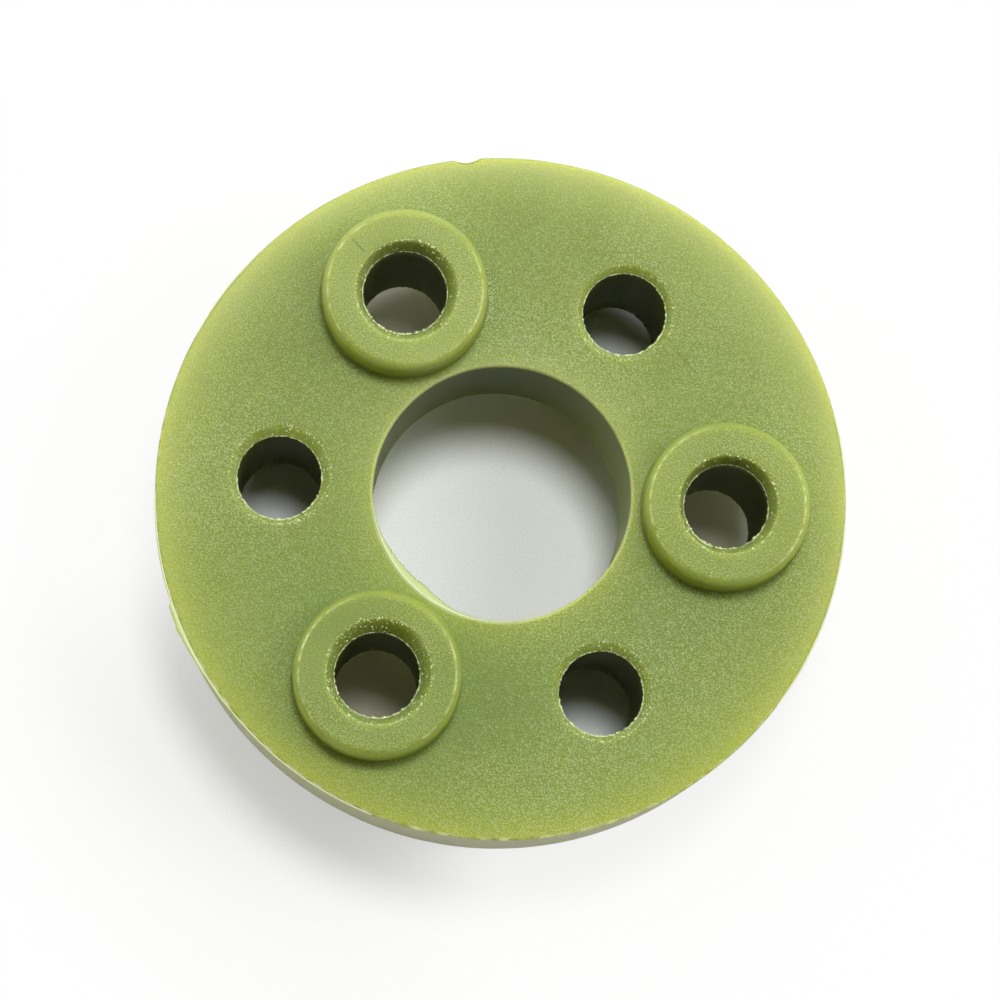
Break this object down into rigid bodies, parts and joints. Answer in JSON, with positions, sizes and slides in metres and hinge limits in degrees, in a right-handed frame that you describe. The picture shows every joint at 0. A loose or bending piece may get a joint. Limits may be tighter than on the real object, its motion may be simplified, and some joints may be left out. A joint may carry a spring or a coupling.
{
  "type": "supercharger coupler",
  "caption": "Flexible drive disc of olive green polyurethane that joins two pinned hubs, with a plain bore and pin holes standing in bosses on alternate faces.",
  "frame": {"origin": "on the bore's axis, at mid thickness of the disc and of the whole part", "axes": "+Z along the bore's axis, out of the upper face; +X through the middle of an upper boss"},
  "size_m": [0.052, 0.052, 0.0164],
  "materials": {
    "cast_polyurethane": "satin olive green, slightly translucent"
  },
  "bodies": {
    "root": {"coupler": "cast_polyurethane"}
  },
  "joints": []
}
